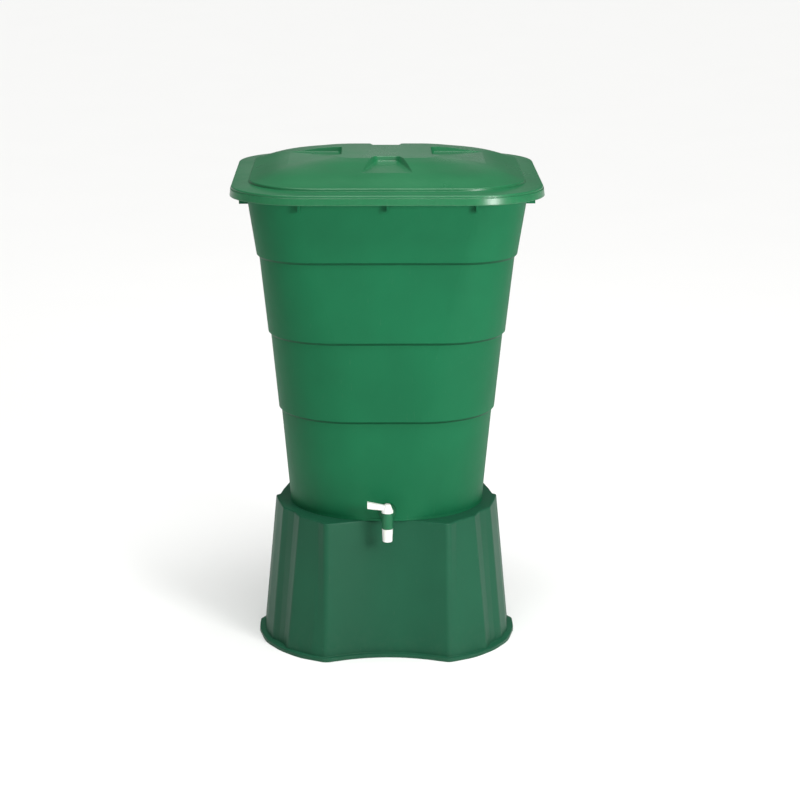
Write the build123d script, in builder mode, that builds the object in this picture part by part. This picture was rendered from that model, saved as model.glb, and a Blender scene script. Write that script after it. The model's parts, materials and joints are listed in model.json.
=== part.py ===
"""Rain barrel: a tapered square tub with a lift-off lid and a plastic tap, standing on a hollow stand.

Frame: +Z up, origin on the floor under the centre of the stand, front of the barrel towards -Y.
All sizes are in millimetres.
"""

import os
from math import atan2, cos, pi, radians, sin

from build123d import *

# ---------------------------------------------------------------- stand
STAND_HEIGHT = 336.0
STAND_WALL = 4.0
STAND_DECK = 5.0
STAND_BACK_SCALE = 0.965  # the rear half is a little smaller, which leaves a step at mid side
STAND_LIP_BACK_SCALE = 0.96
STAND_LIP_THICKNESS = 9.0
STAND_RIB_THICKNESS = 3.0
STAND_RIB_DEPTH = 15.0
STAND_RIB_PITCH = 100.0
STAND_RIB_COUNT = 5
STAND_RIB_LENGTH = 1400.0  # longer than the stand, trimmed by its hollow
# rounding of the top edge: drop below the top, inset of the outline
STAND_EDGE = [(3.0, 0.0), (0.9, 0.9), (0.0, 3.0)]
# half outline from the middle of the front to the middle of the side: x, y, corner radius
STAND_TOP = [
    (0, -214, 320),
    (150, -270, 14),
    (168, -243, 26),
    (215, -199, 9),
    (228, -160, 10),
    (243, -138, 10),
    (257, -120, 14),
    (271, -52, 120),
    (278, -5, 6),
]
STAND_BASE = [
    (0, -248, 300),
    (151, -308, 18),
    (180, -296, 60),
    (246, -244, 16),
    (257, -209, 12),
    (269, -188, 12),
    (286, -168, 22),
    (303, -108, 120),
    (309, -8, 6),
]
STAND_LIP = [
    (0, -260, 300),
    (151, -320, 26),
    (217, -284, 160),
    (264, -232, 160),
    (302, -166, 160),
    (320, -78, 120),
    (320, -12, 30),
]

# ---------------------------------------------------------------- tub
TUB_WALL = 4.0
TUB_FLOOR = 5.0
TUB_TOP = 1149.8
LEDGE_INSET = 6.5
# outer sections from the foot upwards: height, half width, corner radius
TUB_SECTIONS = [
    (STAND_HEIGHT, 240.0, 218.0),
    (583.0, 259.0, 180.0),
    (583.0 + LEDGE_INSET, 259.0 + LEDGE_INSET, 180.0 + LEDGE_INSET),
    (781.0, 281.5, 158.0),
    (781.0 + LEDGE_INSET, 281.5 + LEDGE_INSET, 158.0 + LEDGE_INSET),
    (979.0, 305.5, 131.0),
    (979.0 + LEDGE_INSET, 305.5 + LEDGE_INSET, 131.0 + LEDGE_INSET),
    (TUB_TOP, 335.0, 118.0),
]
FOOT_BEAD_PROUD = 1.2
FOOT_BEAD_HEIGHT = 5.0
RIM_HALF = 354.0
RIM_CORNER = 145.0
RIM_THICKNESS = 4.0
RIM_LIP_BOTTOM = 1127.5
RIM_EDGE_RADIUS = 1.8
# upright fins that brace the rim against the wall, three on each side
FIN_THICKNESS = 5.0
FIN_PITCH = 207.0
FIN_REACH = 351.0  # distance of the fin's outer edge from the middle of the tub
FIN_BOTTOM = 1109.5
PAD_CUT_REACH = 40.0  # how far the cut for the tap pad runs outwards

# ---------------------------------------------------------------- lid
LID_PLATE = 3.5
LID_TOP = TUB_TOP + LID_PLATE  # top of the flat rim of the lid
LID_SKIRT_BOTTOM = 1130.4
LID_HALF = 370.0
LID_CORNER = 176.0
LID_RISE = 3.7  # the rim climbs this much from its edge to the foot of the crown
LID_SKIRT_FLARE = 2.0
LID_SKIRT_WALL = 3.0
LID_BAND_STEP = 1.4
LID_BAND_TOP = LID_TOP - 6.0
LID_EDGE_RADIUS = 2.5
CROWN_HALF = 329.5
CROWN_CORNER = 168.0
# rounded edge at the foot of the crown: height above the rim, inset of the outline
CROWN_EDGE = [(8.2, 0.5), (9.8, 1.5), (10.5, 3.0)]
# crown sections above that edge: height above the rim, half width, corner radius
CROWN_SECTIONS = [
    (10.5, 326.5, 165.0),
    (18.0, 301.7, 151.0),
    (26.0, 278.0, 138.0),
    (34.0, 245.0, 120.0),
    (41.0, 206.5, 100.0),
    (46.5, 177.0, 85.0),
    (50.5, 149.5, 71.0),
    (53.3, 128.0, 60.0),
]
CROWN_WALL = 2.6
CROWN_SHRINK = 4.1
LOCATING_RIB_BOTTOM = 1130.0
LOCATING_RIB_HALF = 324.8
LOCATING_RIB_CORNER = 115.0
LOCATING_RIB_WALL = 2.4
# hand recesses, one on each side of the crown
RECESS_OUTER = 300.0
RECESS_DEPTH = 12.0
RECESS_CUT = 24.0  # height of the cutting wedge, well past the crown
RECESS_SLOPE = 2.8
RECESS_DRAFT = 28.0
RECESS_CORNER = 7.0
RECESS_FLOOR_FILLET = 3.0
# floor of a recess: distance of its inner end from the middle, half width there, half width at the outer end
RECESS_FRONT = (101.0, 25.0, 74.0)
RECESS_SIDE = (115.0, 63.0, 124.0)
RECESSES = [(0, RECESS_FRONT), (90, RECESS_SIDE), (180, RECESS_FRONT), (270, RECESS_SIDE)]

# ---------------------------------------------------------------- tap
TAP_AXIS_Y = -298.0
INLET_HEIGHT = 361.0
PAD_PLANE_Y = -240.0
PAD_RADIUS = 21.0
PAD_THICKNESS = 5.0
SPIGOT_RADIUS = 13.2
SPIGOT_END_Y = -214.0
THREAD_PITCH = 1.81
THREAD_DEPTH = 0.7
THREAD_COUNT = 9
WALL_HOLE_RADIUS = 13.7
SEAL_BORE = 13.3
SEAL_RADIUS = 19.5
SEAL_THICKNESS = 3.0
INNER_SEAL_RADIUS = 16.8
NUT_FLATS = 34.0
NUT_THICKNESS = 10.0
FLANGE_RADIUS = 20.0
FLANGE_THICKNESS = 4.0
HEX_FLATS = 30.0
HEX_LENGTH = 8.0
INLET_RADIUS = 11.5
INLET_BORE = 8.0
BARREL_RADIUS = 13.0
BARREL_BOTTOM = 334.0
BARREL_TOP = 373.4
BARREL_BORE = 9.5
PLUG_RADIUS = 9.45
AXIAL_GAP = 0.4
SPOUT_TOP_RADIUS = 13.4
SPOUT_END_RADIUS = 11.8
SPOUT_BOTTOM = 301.5
SPOUT_BORE = 7.0
PORT_RADIUS = 6.2
STEM_SIDE = 8.0
STEM_TOP = 386.0
O_RING_RADIUS = 0.8
O_RING_HEIGHTS = (341.5, 370.2)
GROOVE_HALF = 0.95
GROOVE_DEPTH = 1.6
HUB_RADIUS = 14.0
HUB_RIM = 4.0
HUB_TOP = 394.6
HUB_TOP_RADIUS = 7.0
HUB_EDGE_RADIUS = 2.0
LEVER_ROOT = (6.0, 385.6, 13.0, 12.4)  # distance from the axis, height, width, depth
LEVER_TIP = (48.5, 392.3, 16.0, 15.5)
LEVER_EDGE_RADIUS = 2.4
SCREW_HEAD_RADIUS = 3.3
SCREW_HEAD_HEIGHT = 2.4
SCREW_RADIUS = 1.5
SCREW_LENGTH = 12.0
SCREW_HEAD_FILLET = 0.9
SLOT_WIDTH = 0.9
SLOT_DEPTH = 1.1
COUNTERBORE_RADIUS = 3.7
COUNTERBORE_FLOOR = 389.0
COUNTERBORE_TOP = 400.0  # above the highest part of the lever

OVERLAP = 1.0  # how far joined or cutting shapes run past the surface they meet


def rounded_square(half, corner, height):
    """Square section with rounded corners, centred on the Z axis at the given height."""
    with BuildSketch(Plane.XY.offset(height)) as section:
        RectangleRounded(2 * half, 2 * half, corner)
    return section.sketch


def shrink(sections, amount):
    """The same sections with every half width and corner radius reduced by amount."""
    return [(height, half - amount, corner - amount) for height, half, corner in sections]


def inset(points, amount):
    """Corner points of a closed outline moved inwards by amount, with matching corner radii."""
    moved = []
    for index, (x, y, radius) in enumerate(points):
        before = points[index - 1]
        after = points[(index + 1) % len(points)]
        angle_in = atan2(y - before[1], x - before[0])
        angle_out = atan2(after[1] - y, after[0] - x)
        turn = (angle_out - angle_in + pi) % (2 * pi) - pi
        middle = angle_in + turn / 2 + pi / 2
        reach = amount / cos(turn / 2)
        moved_radius = radius - amount if turn > 0 else radius + amount
        moved.append((x + reach * cos(middle), y + reach * sin(middle), moved_radius))
    return moved


def stand_ring(half_points, back_scale):
    """Closed outline, counter-clockwise from the middle of the front, from half of its front part."""
    front_right = half_points
    back_right = [(back_scale * x, -back_scale * y, r) for x, y, r in reversed(half_points)]
    left = [(-x, y, r) for x, y, r in reversed((front_right + back_right)[1:-1])]
    return front_right + back_right + left


def outline(points, height):
    """Face bounded by straight runs with rounded corners at the given height."""
    with BuildSketch(Plane.XY.offset(height)) as face:
        with BuildLine():
            corners = [(x, y) for x, y, r in points]
            FilletPolyline(*corners, radius=[r for x, y, r in points], close=True)
        make_face()
    return face.sketch


def side_plane(angle, height, distance):
    """Upright plane facing away from the Z axis; angle 0 faces the front."""
    out = Vector(sin(radians(angle)), -cos(radians(angle)), 0)
    along = Vector(cos(radians(angle)), sin(radians(angle)), 0)
    return Plane(origin=out * distance + Vector(0, 0, height), x_dir=along, z_dir=out)


def round_section(radius, height):
    """Circle about the tap axis at the given height."""
    with BuildSketch(Plane(origin=(0, TAP_AXIS_Y, height))) as section:
        Circle(radius)
    return section.sketch


def lever_section(distance, height, width, depth):
    """Rounded cross section of the lever handle at a distance from the tap axis."""
    across = Plane(origin=(-distance, TAP_AXIS_Y, height), x_dir=(0, 1, 0), z_dir=(-1, 0, 0))
    with BuildSketch(across) as section:
        RectangleRounded(width, depth, LEVER_EDGE_RADIUS)
    return section.sketch


def recess(angle, floor_shape, grow):
    """Wedge that hollows the crown, widening outwards; grow enlarges it on every side."""
    inner_end, half_inner, half_outer = floor_shape
    out = Vector(sin(radians(angle)), -cos(radians(angle)), 0)
    along = Vector(cos(radians(angle)), sin(radians(angle)), 0)
    lean = radians(RECESS_SLOPE)
    floor_height = LID_TOP + CROWN_SECTIONS[-1][0] - RECESS_DEPTH
    floor_plane = Plane(
        origin=out * inner_end + Vector(0, 0, floor_height),
        x_dir=along,
        z_dir=out * sin(lean) + Vector(0, 0, cos(lean)),
    )
    reach = RECESS_OUTER - inner_end
    with BuildPart() as wedge:
        with BuildSketch(floor_plane.offset(-grow)):
            with BuildLine():
                FilletPolyline(
                    (-half_outer - grow, -reach),
                    (half_outer + grow, -reach),
                    (half_inner + grow, grow),
                    (-half_inner - grow, grow),
                    radius=RECESS_CORNER + grow,
                    close=True,
                )
            make_face()
        extrude(amount=RECESS_CUT, taper=-RECESS_DRAFT)
        if grow == 0:
            fillet(wedge.faces().sort_by(Axis.Z)[0].edges(), RECESS_FLOOR_FILLET)
    return wedge.part


# ---------------------------------------------------------------- stand
stand_top_ring = stand_ring(STAND_TOP, STAND_BACK_SCALE)
stand_base_ring = stand_ring(STAND_BASE, STAND_BACK_SCALE)
inner_top_ring = inset(stand_top_ring, STAND_WALL)
inner_base_ring = inset(stand_base_ring, STAND_WALL)

with BuildPart() as stand_hollow:
    loft(
        sections=[outline(inner_base_ring, 0), outline(inner_top_ring, STAND_HEIGHT - STAND_DECK)],
        ruled=True,
    )
    with BuildSketch(Plane.XY.offset(STAND_HEIGHT - STAND_DECK - STAND_RIB_DEPTH)):
        with GridLocations(STAND_RIB_PITCH, 0, STAND_RIB_COUNT, 1):
            Rectangle(STAND_RIB_THICKNESS, STAND_RIB_LENGTH)
        with GridLocations(0, STAND_RIB_PITCH, 1, STAND_RIB_COUNT):
            Rectangle(STAND_RIB_LENGTH, STAND_RIB_THICKNESS)
    extrude(amount=STAND_RIB_DEPTH, mode=Mode.SUBTRACT)

with BuildPart() as stand:
    edge_sections = [outline(inset(stand_top_ring, step), STAND_HEIGHT - drop) for drop, step in STAND_EDGE]
    loft(sections=[outline(stand_base_ring, 0)] + edge_sections, ruled=True)
    add(outline(stand_ring(STAND_LIP, STAND_LIP_BACK_SCALE), 0))
    extrude(amount=STAND_LIP_THICKNESS)
    add(stand_hollow.part, mode=Mode.SUBTRACT)

# ---------------------------------------------------------------- tub
tub_inside = shrink(TUB_SECTIONS, TUB_WALL)
tub_inside[0] = (STAND_HEIGHT + TUB_FLOOR, tub_inside[0][1], tub_inside[0][2])

with BuildPart() as tub_hollow:
    loft(
        sections=[rounded_square(half, corner, height) for height, half, corner in tub_inside],
        ruled=True,
    )
    # the wall stays thick behind the tap
    with BuildSketch(side_plane(0, INLET_HEIGHT, -PAD_PLANE_Y - PAD_THICKNESS)):
        Circle(PAD_RADIUS + PAD_THICKNESS)
    extrude(amount=PAD_CUT_REACH, mode=Mode.SUBTRACT)

with BuildPart() as tub:
    # rim with its turned-down edge
    with BuildSketch(Plane.XY.offset(RIM_LIP_BOTTOM)):
        RectangleRounded(2 * RIM_HALF, 2 * RIM_HALF, RIM_CORNER)
    extrude(amount=TUB_TOP - RIM_LIP_BOTTOM)
    fillet(tub.faces().sort_by(Axis.Z)[-1].edges(), RIM_EDGE_RADIUS)
    with BuildSketch(Plane.XY.offset(RIM_LIP_BOTTOM)):
        rim_inner = RIM_HALF - RIM_THICKNESS
        RectangleRounded(2 * rim_inner, 2 * rim_inner, RIM_CORNER - RIM_THICKNESS)
    extrude(amount=TUB_TOP - RIM_THICKNESS - RIM_LIP_BOTTOM, mode=Mode.SUBTRACT)
    # fins between the rim and the wall
    with BuildSketch(Plane.XY.offset(FIN_BOTTOM)):
        with GridLocations(FIN_PITCH, 0, 3, 1):
            Rectangle(FIN_THICKNESS, 2 * FIN_REACH)
        with GridLocations(0, FIN_PITCH, 1, 3):
            Rectangle(2 * FIN_REACH, FIN_THICKNESS)
    extrude(amount=TUB_TOP - RIM_THICKNESS - FIN_BOTTOM)
    # wall with its three ledges
    loft(
        sections=[rounded_square(half, corner, height) for height, half, corner in TUB_SECTIONS],
        ruled=True,
    )
    # foot bead
    with BuildSketch(Plane.XY.offset(STAND_HEIGHT)):
        foot_half = TUB_SECTIONS[0][1] + FOOT_BEAD_PROUD
        RectangleRounded(2 * foot_half, 2 * foot_half, TUB_SECTIONS[0][2] + FOOT_BEAD_PROUD)
    extrude(amount=FOOT_BEAD_HEIGHT)
    add(tub_hollow.part, mode=Mode.SUBTRACT)
    # flat pad and hole for the tap
    with BuildSketch(side_plane(0, INLET_HEIGHT, -PAD_PLANE_Y)):
        Circle(PAD_RADIUS)
    extrude(amount=PAD_CUT_REACH, mode=Mode.SUBTRACT)
    with BuildSketch(side_plane(0, INLET_HEIGHT, -PAD_PLANE_Y - PAD_THICKNESS)):
        Circle(WALL_HOLE_RADIUS)
    extrude(amount=PAD_THICKNESS, mode=Mode.SUBTRACT)

# ---------------------------------------------------------------- lid
crown = [(LID_TOP + rise, half, corner) for rise, half, corner in CROWN_SECTIONS]
crown_inside = [(z - CROWN_WALL, half, corner) for z, half, corner in shrink(crown, CROWN_SHRINK)]
rib_inner = LOCATING_RIB_HALF - LOCATING_RIB_WALL
rib_inner_corner = LOCATING_RIB_CORNER - LOCATING_RIB_WALL

with BuildPart() as lid_hollow:
    loft(sections=[rounded_square(half, corner, height) for height, half, corner in crown_inside])
    with BuildSketch(Plane.XY.offset(TUB_TOP)):
        RectangleRounded(2 * crown_inside[0][1], 2 * crown_inside[0][1], crown_inside[0][2])
    extrude(amount=crown_inside[0][0] - TUB_TOP)
    with BuildSketch(Plane.XY.offset(LOCATING_RIB_BOTTOM)):
        RectangleRounded(2 * rib_inner, 2 * rib_inner, rib_inner_corner)
    extrude(amount=TUB_TOP - LOCATING_RIB_BOTTOM)
    for angle, floor_shape in RECESSES:
        add(recess(angle, floor_shape, CROWN_WALL), mode=Mode.SUBTRACT)

with BuildPart() as lid:
    # flat rim with a rounded edge, then the skirt standing slightly proud below it
    with BuildSketch(Plane.XY.offset(LID_BAND_TOP)):
        RectangleRounded(2 * LID_HALF, 2 * LID_HALF, LID_CORNER)
    extrude(amount=LID_TOP - LID_BAND_TOP)
    fillet(lid.faces().sort_by(Axis.Z)[-1].edges(), LID_EDGE_RADIUS)
    skirt_top = LID_HALF + LID_BAND_STEP
    skirt_foot = skirt_top + LID_SKIRT_FLARE
    loft(
        sections=[
            rounded_square(skirt_foot, LID_CORNER, LID_SKIRT_BOTTOM),
            rounded_square(skirt_top, LID_CORNER, LID_BAND_TOP),
        ],
        ruled=True,
    )
    loft(
        sections=[
            rounded_square(skirt_foot - LID_SKIRT_WALL, LID_CORNER - LID_SKIRT_WALL, LID_SKIRT_BOTTOM),
            rounded_square(LID_HALF - LID_SKIRT_WALL, LID_CORNER - LID_SKIRT_WALL, LID_TOP - LID_PLATE),
        ],
        ruled=True,
        mode=Mode.SUBTRACT,
    )
    # the rim climbs towards the crown
    loft(
        sections=[
            rounded_square(LID_HALF - LID_EDGE_RADIUS, LID_CORNER - LID_EDGE_RADIUS, LID_TOP),
            rounded_square(CROWN_HALF, CROWN_CORNER, LID_TOP + LID_RISE),
        ],
        ruled=True,
    )
    # crown
    crown_foot = [rounded_square(CROWN_HALF, CROWN_CORNER, LID_TOP - LID_PLATE)]
    for rise, step in CROWN_EDGE:
        crown_foot.append(rounded_square(CROWN_HALF - step, CROWN_CORNER - step, LID_TOP + rise))
    loft(sections=crown_foot, ruled=True)
    loft(sections=[rounded_square(half, corner, height) for height, half, corner in crown])
    # rib that drops into the mouth of the tub
    with BuildSketch(Plane.XY.offset(LOCATING_RIB_BOTTOM)):
        RectangleRounded(2 * LOCATING_RIB_HALF, 2 * LOCATING_RIB_HALF, LOCATING_RIB_CORNER)
    extrude(amount=LID_TOP - LOCATING_RIB_BOTTOM)
    add(lid_hollow.part, mode=Mode.SUBTRACT)
    for angle, floor_shape in RECESSES:
        add(recess(angle, floor_shape, 0), mode=Mode.SUBTRACT)

# ---------------------------------------------------------------- tap body and its fixings
tap_plane = Plane(origin=(0, TAP_AXIS_Y, 0))
pad_distance = -PAD_PLANE_Y
flange_face = pad_distance + SEAL_THICKNESS
hex_face = flange_face + FLANGE_THICKNESS
inlet_reach = -TAP_AXIS_Y
spigot_end = -SPIGOT_END_Y

with BuildPart() as tap_body:
    with BuildSketch(tap_plane.offset(BARREL_BOTTOM)):
        Circle(BARREL_RADIUS)
    extrude(amount=BARREL_TOP - BARREL_BOTTOM)
    with BuildSketch(side_plane(0, INLET_HEIGHT, hex_face)):
        Circle(INLET_RADIUS)
    extrude(amount=inlet_reach - hex_face)
    with BuildSketch(side_plane(0, INLET_HEIGHT, hex_face)):
        RegularPolygon(HEX_FLATS / 2, 6, major_radius=False)
    extrude(amount=HEX_LENGTH)
    with BuildSketch(side_plane(0, INLET_HEIGHT, flange_face)):
        Circle(FLANGE_RADIUS)
    extrude(amount=FLANGE_THICKNESS)
    with BuildSketch(side_plane(0, INLET_HEIGHT, spigot_end)):
        Circle(SPIGOT_RADIUS)
    extrude(amount=flange_face - spigot_end)
    # thread on the free end of the spigot
    for turn in range(THREAD_COUNT):
        with BuildSketch(side_plane(0, INLET_HEIGHT, spigot_end + THREAD_PITCH * (turn + 1 / 2))):
            Circle(SPIGOT_RADIUS + OVERLAP)
            Circle(SPIGOT_RADIUS - THREAD_DEPTH, mode=Mode.SUBTRACT)
        extrude(amount=THREAD_PITCH / 2, mode=Mode.SUBTRACT)
    with BuildSketch(tap_plane.offset(BARREL_BOTTOM)):
        Circle(BARREL_BORE)
    extrude(amount=BARREL_TOP - BARREL_BOTTOM, mode=Mode.SUBTRACT)
    with BuildSketch(side_plane(0, INLET_HEIGHT, spigot_end)):
        Circle(INLET_BORE)
    extrude(amount=inlet_reach - spigot_end, mode=Mode.SUBTRACT)

with BuildPart() as outer_seal:
    with BuildSketch(side_plane(0, INLET_HEIGHT, pad_distance)):
        Circle(SEAL_RADIUS)
        Circle(SEAL_BORE, mode=Mode.SUBTRACT)
    extrude(amount=SEAL_THICKNESS)

inner_seal_face = pad_distance - PAD_THICKNESS - SEAL_THICKNESS
with BuildPart() as inner_seal:
    with BuildSketch(side_plane(0, INLET_HEIGHT, inner_seal_face)):
        Circle(INNER_SEAL_RADIUS)
        Circle(SEAL_BORE, mode=Mode.SUBTRACT)
    extrude(amount=SEAL_THICKNESS)

with BuildPart() as lock_nut:
    with BuildSketch(side_plane(0, INLET_HEIGHT, inner_seal_face - NUT_THICKNESS)):
        RegularPolygon(NUT_FLATS / 2, 6, major_radius=False)
        Circle(SEAL_BORE, mode=Mode.SUBTRACT)
    extrude(amount=NUT_THICKNESS)

# ---------------------------------------------------------------- turning parts of the tap
plug_bottom = BARREL_BOTTOM - AXIAL_GAP
plug_top = BARREL_TOP + AXIAL_GAP / 2

with BuildPart() as tap_plug:
    with BuildSketch(tap_plane.offset(plug_bottom)):
        Circle(PLUG_RADIUS)
    extrude(amount=plug_top - plug_bottom)
    loft(
        sections=[
            round_section(SPOUT_END_RADIUS, SPOUT_BOTTOM),
            round_section(SPOUT_TOP_RADIUS, plug_bottom),
        ],
        ruled=True,
    )
    fillet(tap_plug.faces().sort_by(Axis.Z)[0].edges(), HUB_EDGE_RADIUS)
    with BuildSketch(tap_plane.offset(plug_top)):
        Rectangle(STEM_SIDE, STEM_SIDE)
    extrude(amount=STEM_TOP - plug_top)
    # grooves for the two rings
    for height in O_RING_HEIGHTS:
        with BuildSketch(tap_plane.offset(height - GROOVE_HALF)):
            Circle(PLUG_RADIUS + OVERLAP)
            Circle(PLUG_RADIUS - GROOVE_DEPTH, mode=Mode.SUBTRACT)
        extrude(amount=2 * GROOVE_HALF, mode=Mode.SUBTRACT)
    # water way: up the middle, out through the port, which faces sideways while closed
    with BuildSketch(tap_plane.offset(SPOUT_BOTTOM)):
        Circle(SPOUT_BORE)
    extrude(amount=INLET_HEIGHT - SPOUT_BOTTOM, mode=Mode.SUBTRACT)
    with BuildSketch(Plane(origin=(0, TAP_AXIS_Y, INLET_HEIGHT), x_dir=(0, 1, 0), z_dir=(1, 0, 0))):
        Circle(PORT_RADIUS)
    extrude(amount=PLUG_RADIUS + OVERLAP, mode=Mode.SUBTRACT)
    # pilot hole for the lever screw
    with BuildSketch(tap_plane.offset(COUNTERBORE_FLOOR - SCREW_LENGTH)):
        Circle(SCREW_RADIUS)
    extrude(amount=SCREW_LENGTH, mode=Mode.SUBTRACT)

with BuildPart() as plug_o_rings:
    for height in O_RING_HEIGHTS:
        with BuildSketch(Plane(origin=(0, TAP_AXIS_Y, height), x_dir=(1, 0, 0), z_dir=(0, -1, 0))):
            with Locations((PLUG_RADIUS - O_RING_RADIUS, 0)):
                Circle(O_RING_RADIUS)
        revolve(axis=Axis((0, TAP_AXIS_Y, height), (0, 0, 1)))

with BuildPart() as tap_lever:
    hub_bottom = BARREL_TOP + AXIAL_GAP
    loft(
        sections=[
            round_section(HUB_RADIUS, hub_bottom + HUB_RIM),
            round_section(HUB_TOP_RADIUS, HUB_TOP),
        ],
        ruled=True,
    )
    fillet(tap_lever.faces().sort_by(Axis.Z)[-1].edges(), HUB_EDGE_RADIUS)
    with BuildSketch(tap_plane.offset(hub_bottom)):
        Circle(HUB_RADIUS)
    extrude(amount=HUB_RIM)
    # handle, rising towards its wide end
    loft(sections=[lever_section(*LEVER_ROOT), lever_section(*LEVER_TIP)], ruled=True)
    with BuildSketch(tap_plane.offset(hub_bottom)):
        Rectangle(STEM_SIDE, STEM_SIDE)
    extrude(amount=STEM_TOP + AXIAL_GAP - hub_bottom, mode=Mode.SUBTRACT)
    with BuildSketch(tap_plane.offset(COUNTERBORE_FLOOR)):
        Circle(COUNTERBORE_RADIUS)
    extrude(amount=COUNTERBORE_TOP - COUNTERBORE_FLOOR, mode=Mode.SUBTRACT)
    with BuildSketch(tap_plane.offset(STEM_TOP)):
        Circle(SCREW_RADIUS)
    extrude(amount=COUNTERBORE_FLOOR - STEM_TOP, mode=Mode.SUBTRACT)

with BuildPart() as lever_screw:
    with BuildSketch(tap_plane.offset(COUNTERBORE_FLOOR)):
        Circle(SCREW_HEAD_RADIUS)
    extrude(amount=SCREW_HEAD_HEIGHT)
    fillet(lever_screw.faces().sort_by(Axis.Z)[-1].edges(), SCREW_HEAD_FILLET)
    with BuildSketch(tap_plane.offset(COUNTERBORE_FLOOR + SCREW_HEAD_HEIGHT)):
        Rectangle(2 * SCREW_RADIUS, SLOT_WIDTH)
        Rectangle(SLOT_WIDTH, 2 * SCREW_RADIUS)
    extrude(amount=-SLOT_DEPTH, mode=Mode.SUBTRACT)
    with BuildSketch(tap_plane.offset(COUNTERBORE_FLOOR)):
        Circle(SCREW_RADIUS)
    extrude(amount=-SCREW_LENGTH + OVERLAP)

# ---------------------------------------------------------------- files
os.makedirs("parts", exist_ok=True)

stand.part.label = "stand"
export_step(stand.part, "parts/stand.step")
tub.part.label = "tub"
export_step(tub.part, "parts/tub.step")
lid.part.label = "lid"
export_step(lid.part, "parts/lid.step")
tap_body.part.label = "tap_body"
export_step(tap_body.part, "parts/tap_body.step")
outer_seal.part.label = "outer_seal"
export_step(outer_seal.part, "parts/outer_seal.step")
inner_seal.part.label = "inner_seal"
export_step(inner_seal.part, "parts/inner_seal.step")
lock_nut.part.label = "lock_nut"
export_step(lock_nut.part, "parts/lock_nut.step")
tap_plug.part.label = "tap_plug"
export_step(tap_plug.part, "parts/tap_plug.step")
plug_o_rings.part.label = "plug_o_rings"
export_step(plug_o_rings.part, "parts/plug_o_rings.step")
tap_lever.part.label = "tap_lever"
export_step(tap_lever.part, "parts/tap_lever.step")
lever_screw.part.label = "lever_screw"
export_step(lever_screw.part, "parts/lever_screw.step")
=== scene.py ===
"""Looks of the rain barrel: moulded plastic materials on the CAD frame, studio light, floor and camera."""

import json
import math

import bpy
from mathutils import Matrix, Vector


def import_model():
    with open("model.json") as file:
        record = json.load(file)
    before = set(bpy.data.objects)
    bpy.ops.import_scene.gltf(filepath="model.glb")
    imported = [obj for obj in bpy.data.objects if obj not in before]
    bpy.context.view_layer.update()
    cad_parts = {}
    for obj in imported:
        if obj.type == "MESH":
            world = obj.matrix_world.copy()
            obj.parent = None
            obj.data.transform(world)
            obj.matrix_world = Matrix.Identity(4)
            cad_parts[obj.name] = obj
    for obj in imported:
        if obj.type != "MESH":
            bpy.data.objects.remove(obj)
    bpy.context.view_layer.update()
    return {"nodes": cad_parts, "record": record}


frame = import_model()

# colours, linear
GREEN = (0.006, 0.122, 0.048)
STAND_GREEN = (0.010, 0.086, 0.043)
LID_GREEN = (0.014, 0.144, 0.055)
WHITE = (0.80, 0.82, 0.80)
RUBBER = (0.018, 0.018, 0.019)
ZINC = (0.60, 0.60, 0.58)
FLOOR = (0.90, 0.90, 0.89)
DUST = (0.30, 0.27, 0.22)

# moulded surfaces: cells to the metre, depths and heights in metres
GRAIN_SCALE = 780.0
GRAIN_DEPTH = 0.00006
WAVE_SCALE = 9.0
WAVE_DEPTH = 0.0012
DUST_TOP = 0.1
EDGE_WEAR = 0.06  # share of pale rubbing on the edges
UNDERSIDE_PAINTED_SHADE = 0.35  # painted shade: faces that look down are darker by this factor

# camera, which looks at the front from a little above, and the floor it sees
CAMERA_PLACE = Vector((-0.05, -5.9005, 2.0266))
CAMERA_PITCH = math.radians(13.78)
CAMERA_LENS = 109.2
CAMERA_SHIFT = 0.017
SENSOR_WIDTH = 36.0
FAR_CLIP = 200.0
FLOOR_SIZE = 90

# light
WORLD_STRENGTH = 0.12
AIM_HEIGHT = 0.75  # the softboxes point at this height of the barrel
LID_HEIGHT = 1.15  # about the rim of the lid


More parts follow.
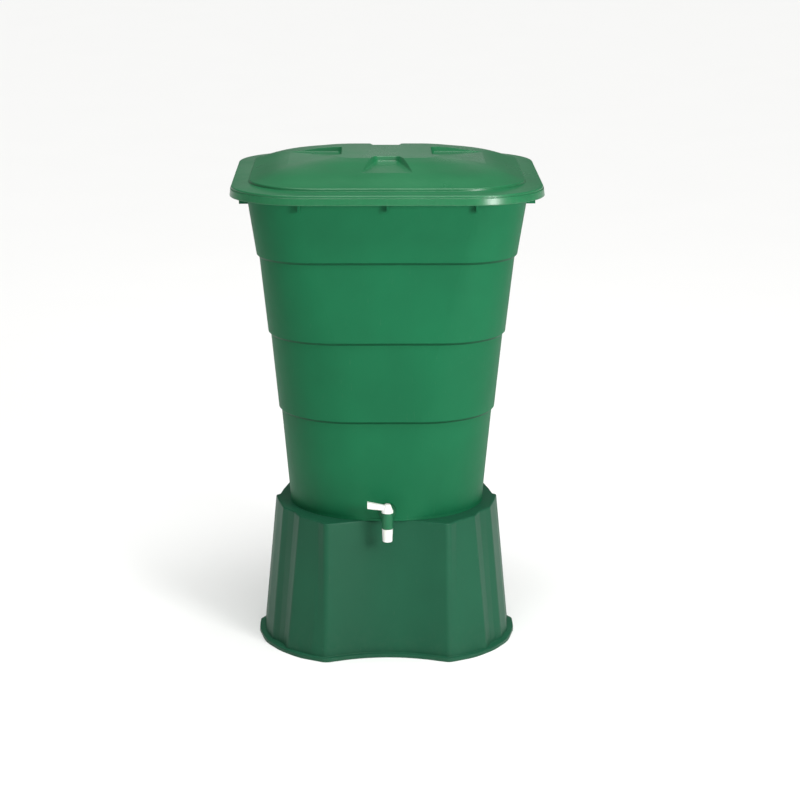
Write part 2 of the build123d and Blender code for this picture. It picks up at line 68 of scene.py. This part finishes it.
# ---------------------------------------------------------------- node helpers
class Nodes:
    """A material's node tree, with short calls for the nodes used here."""

    def __init__(self, name):
        self.material = bpy.data.materials.new(name)
        self.material.use_nodes = True
        self.tree = self.material.node_tree
        self.shader = self.tree.nodes["Principled BSDF"]

    def new(self, kind, **values):
        """A new node with the given settings."""
        node = self.tree.nodes.new(kind)
        for key, value in values.items():
            setattr(node, key, value)
        return node

    def link(self, source, target):
        self.tree.links.new(source, target)

    def place(self, scale=(1, 1, 1)):
        """The piece's own coordinates in metres, stretched by scale."""
        coordinates = self.new("ShaderNodeTexCoord")
        mapping = self.new("ShaderNodeMapping")
        mapping.inputs["Scale"].default_value = scale
        self.link(coordinates.outputs["Object"], mapping.inputs["Vector"])
        return mapping.outputs["Vector"]

    def noise(self, where, scale, detail=2.0, roughness=0.5):
        """Fractal noise, scale in cells to the metre."""
        node = self.new("ShaderNodeTexNoise")
        node.inputs["Scale"].default_value = scale
        node.inputs["Detail"].default_value = detail
        node.inputs["Roughness"].default_value = roughness
        self.link(where, node.inputs["Vector"])
        return node.outputs["Fac"]

    def span(self, value, low, high, to_low=0.0, to_high=1.0):
        """value from low..high mapped to to_low..to_high, held at the ends."""
        node = self.new("ShaderNodeMapRange")
        self.link(value, node.inputs["Value"])
        node.inputs["From Min"].default_value = low
        node.inputs["From Max"].default_value = high
        node.inputs["To Min"].default_value = to_low
        node.inputs["To Max"].default_value = to_high
        return node.outputs["Result"]

    def combine(self, operation, a, b):
        """Result of a maths operation on two values, each a number or a socket."""
        node = self.new("ShaderNodeMath", operation=operation)
        for socket, value in zip(node.inputs, (a, b)):
            if isinstance(value, (int, float)):
                socket.default_value = value
            else:
                self.link(value, socket)
        return node.outputs["Value"]

    def mix(self, share, a, b):
        """Colour a where share is 0, colour b where it is 1."""
        node = self.new("ShaderNodeMix", data_type="RGBA")
        self.link(share, node.inputs["Factor"])
        for socket, value in ((node.inputs["A"], a), (node.inputs["B"], b)):
            if isinstance(value, tuple):
                socket.default_value = (*value, 1.0)
            else:
                self.link(value, socket)
        return node.outputs["Result"]

    def rounded_edges(self, radius):
        """Normal that catches the light along every sharp edge as a small radius would."""
        node = self.new("ShaderNodeBevel", samples=6)
        node.inputs["Radius"].default_value = radius
        return node.outputs["Normal"]

    def bump(self, height, distance, strength=1.0, before=None):
        """Normal tilted by height, on top of the normal before."""
        node = self.new("ShaderNodeBump")
        node.inputs["Strength"].default_value = strength
        node.inputs["Distance"].default_value = distance
        self.link(height, node.inputs["Height"])
        if before is not None:
            self.link(before, node.inputs["Normal"])
        return node.outputs["Normal"]


def tint(colour, factor):
    """The colour made lighter or darker by factor."""
    return tuple(min(1.0, channel * factor) for channel in colour)


# ---------------------------------------------------------------- materials
def moulded(name, colour, roughness, shine, edge, dust=0.0):
    """Moulded polyethylene: flow marks, fine grain, rubbed edges, light scuffs, and painted shade on the
    faces that look down.

    edge is the rounding of its edges in metres, dust the share of dust near the foot.
    """
    n = Nodes(name)
    cloud = n.noise(n.place(), 4.0, 3.0)
    flow = n.noise(n.place((7, 7, 1.2)), 1.0, 3.0)
    scuffs = n.noise(n.place((160, 160, 22)), 1.0, 6.0, 0.62)
    grain = n.noise(n.place(), GRAIN_SCALE, 3.0, 0.6)
    waves = n.noise(n.place(), WAVE_SCALE, 2.0)

    base = n.mix(n.span(cloud, 0.3, 0.7), tint(colour, 0.90), tint(colour, 1.10))
    base = n.mix(n.span(flow, 0.42, 0.70, 0.0, 0.35), base, tint(colour, 1.18))
    scuffed = n.span(scuffs, 0.64, 0.76, 0.0, 0.12)
    pale = tuple(0.6 * channel + 0.12 for channel in colour)
    base = n.mix(scuffed, base, pale)
    edges = n.new("ShaderNodeNewGeometry").outputs["Pointiness"]
    rubbed = n.combine("MULTIPLY", n.span(edges, 0.53, 0.60, 0.0, EDGE_WEAR), n.span(scuffs, 0.35, 0.60))
    base = n.mix(rubbed, base, pale)
    # painted shade: the base colour is darkened where the normal points down, under ledges and rims
    facing = n.new("ShaderNodeSeparateXYZ")
    n.link(n.new("ShaderNodeTexCoord").outputs["Normal"], facing.inputs["Vector"])
    painted_underside_shade = n.span(facing.outputs["Z"], -0.25, -0.6, 0.0, 0.75)
    base = n.mix(painted_underside_shade, base, tint(colour, UNDERSIDE_PAINTED_SHADE))
    if dust:
        height = n.new("ShaderNodeSeparateXYZ")
        n.link(n.place(), height.inputs["Vector"])
        low = n.span(height.outputs["Z"], DUST_TOP, 0.0)
        speckle = n.span(n.noise(n.place(), 60.0, 6.0, 0.7), 0.45, 0.75)
        settled = n.combine("MULTIPLY", n.combine("MULTIPLY", low, speckle), dust)
        base = n.mix(settled, base, DUST)
    n.link(base, n.shader.inputs["Base Color"])

    drawn = n.span(flow, 0.3, 0.7, roughness - 0.04, roughness + 0.05)
    rough = n.combine("ADD", drawn, n.span(scuffs, 0.5, 0.8, 0.0, 0.07))
    n.link(rough, n.shader.inputs["Roughness"])
    n.shader.inputs["Specular IOR Level"].default_value = shine

    normal = n.bump(waves, WAVE_DEPTH, 1.0, n.rounded_edges(edge))
    normal = n.bump(grain, GRAIN_DEPTH, 0.25, normal)
    n.link(normal, n.shader.inputs["Normal"])
    return n.material


def white_plastic(name):
    """Glossy white moulding with a slight yellowing and dirt rubbed into the surface."""
    n = Nodes(name)
    cloud = n.noise(n.place(), 60.0, 3.0)
    marks = n.noise(n.place((300, 300, 900)), 1.0, 5.0, 0.65)
    grain = n.noise(n.place(), 2200.0, 2.0)
    base = n.mix(n.span(cloud, 0.35, 0.7), WHITE, (0.78, 0.78, 0.71))
    base = n.mix(n.span(marks, 0.60, 0.75, 0.0, 0.30), base, (0.52, 0.52, 0.47))
    n.link(base, n.shader.inputs["Base Color"])
    n.link(n.span(marks, 0.4, 0.8, 0.28, 0.48), n.shader.inputs["Roughness"])
    n.link(n.bump(grain, 0.00003, 0.6, n.bump(cloud, 0.0002)), n.shader.inputs["Normal"])
    return n.material


def rubber(name):
    """Black rubber with bloom."""
    n = Nodes(name)
    bloom = n.noise(n.place(), 140.0, 5.0, 0.65)
    grain = n.noise(n.place(), 1500.0, 2.0)
    n.link(n.mix(n.span(bloom, 0.4, 0.7), RUBBER, (0.055, 0.055, 0.055)), n.shader.inputs["Base Color"])
    n.link(n.span(bloom, 0.3, 0.7, 0.62, 0.82), n.shader.inputs["Roughness"])
    n.link(n.bump(grain, 0.00008, 0.7), n.shader.inputs["Normal"])
    return n.material


def zinc(name):
    """Zinc-plated steel, turned."""
    n = Nodes(name)
    spots = n.noise(n.place(), 900.0, 4.0, 0.6)
    turned = n.noise(n.place((400, 400, 9000)), 1.0, 2.0)
    n.link(n.mix(n.span(spots, 0.4, 0.7), ZINC, (0.42, 0.42, 0.40)), n.shader.inputs["Base Color"])
    n.shader.inputs["Metallic"].default_value = 1.0
    n.link(n.span(spots, 0.3, 0.7, 0.30, 0.50), n.shader.inputs["Roughness"])
    n.link(n.bump(turned, 0.00004, 0.6), n.shader.inputs["Normal"])
    return n.material


MATERIALS = {
    "tub_plastic": moulded("tub_plastic", GREEN, 0.50, 0.12, 0.0008),
    "lid_plastic": moulded("lid_plastic", LID_GREEN, 0.30, 0.42, 0.0035),
    "stand_plastic": moulded("stand_plastic", STAND_GREEN, 0.48, 0.18, 0.003, dust=0.03),
    "tap_green_plastic": moulded("tap_green_plastic", GREEN, 0.40, 0.25, 0.0008),
    "tap_white_plastic": white_plastic("tap_white_plastic"),
    "seal_rubber": rubber("seal_rubber"),
    "screw_steel": zinc("screw_steel"),
}

for part in frame["record"]["subparts"]:
    node = frame["nodes"][part["node"]]
    node.data.materials.clear()
    node.data.materials.append(MATERIALS[part["material_slot"]])


# ---------------------------------------------------------------- floor, light and camera
def floor():
    """Wide white floor."""
    n = Nodes("floor")
    n.link(n.span(n.noise(n.place(), 2.0), 0.3, 0.7, 0.78, 0.85), n.shader.inputs["Roughness"])
    n.shader.inputs["Base Color"].default_value = (*FLOOR, 1.0)
    bpy.ops.mesh.primitive_plane_add(size=FLOOR_SIZE, location=(0, 0, 0))
    plane = bpy.context.object
    plane.name = "floor"
    plane.data.materials.append(n.material)


def direction_to(azimuth, elevation):
    """Unit vector in degrees; azimuth 0 is in front of the barrel, positive towards +X."""
    a, e = math.radians(azimuth), math.radians(elevation)
    return Vector((math.sin(a) * math.cos(e), -math.cos(a) * math.cos(e), math.sin(e)))


def softbox(name, azimuth, elevation, distance, size, power, aim=AIM_HEIGHT):
    """Rectangular area light that faces the barrel's axis at the height aim."""
    direction = direction_to(azimuth, elevation)
    data = bpy.data.lights.new(name, "AREA")
    data.shape = "RECTANGLE"
    data.size, data.size_y = size
    data.energy = power
    lamp = bpy.data.objects.new(name, data)
    bpy.context.scene.collection.objects.link(lamp)
    lamp.location = Vector((0, 0, aim)) + direction * distance
    lamp.rotation_euler = direction.to_track_quat("Z", "Y").to_euler()


def world():
    """Dim even surroundings."""
    sky = bpy.data.worlds.new("studio")
    bpy.context.scene.world = sky
    sky.use_nodes = True
    tree = sky.node_tree
    background = tree.nodes["Background"]
    background.inputs["Color"].default_value = (1, 1, 1, 1)
    background.inputs["Strength"].default_value = WORLD_STRENGTH


def camera():
    """Long lens pointed at the barrel from the front."""
    data = bpy.data.cameras.new("camera")
    data.lens = CAMERA_LENS
    data.sensor_width = SENSOR_WIDTH
    data.shift_x = CAMERA_SHIFT
    data.clip_end = FAR_CLIP
    eye = bpy.data.objects.new("camera", data)
    bpy.context.scene.collection.objects.link(eye)
    eye.location = CAMERA_PLACE
    turn = math.atan2(CAMERA_PLACE.x, -CAMERA_PLACE.y)
    eye.rotation_euler = (math.radians(90) - CAMERA_PITCH, 0, turn)
    bpy.context.scene.camera = eye


def overhead(azimuth, elevation, spread, strength):
    """Broad light from above that whitens the floor evenly."""
    data = bpy.data.lights.new("overhead", "SUN")
    data.energy = strength
    data.angle = math.radians(spread)
    lamp = bpy.data.objects.new("overhead", data)
    bpy.context.scene.collection.objects.link(lamp)
    lamp.rotation_euler = direction_to(azimuth, elevation).to_track_quat("Z", "Y").to_euler()


floor()
world()
overhead(azimuth=0, elevation=87, spread=60, strength=3.05)
softbox("key", azimuth=34, elevation=13.5, distance=3.1, size=(0.8, 0.8), power=62)
softbox("front", azimuth=4, elevation=60, distance=3.4, size=(1.8, 0.35), power=28)
softbox("back", azimuth=180, elevation=12, distance=5.2, size=(1.6, 0.8), power=1.8, aim=LID_HEIGHT)
camera()
bpy.context.scene.view_settings.view_transform = "Standard"
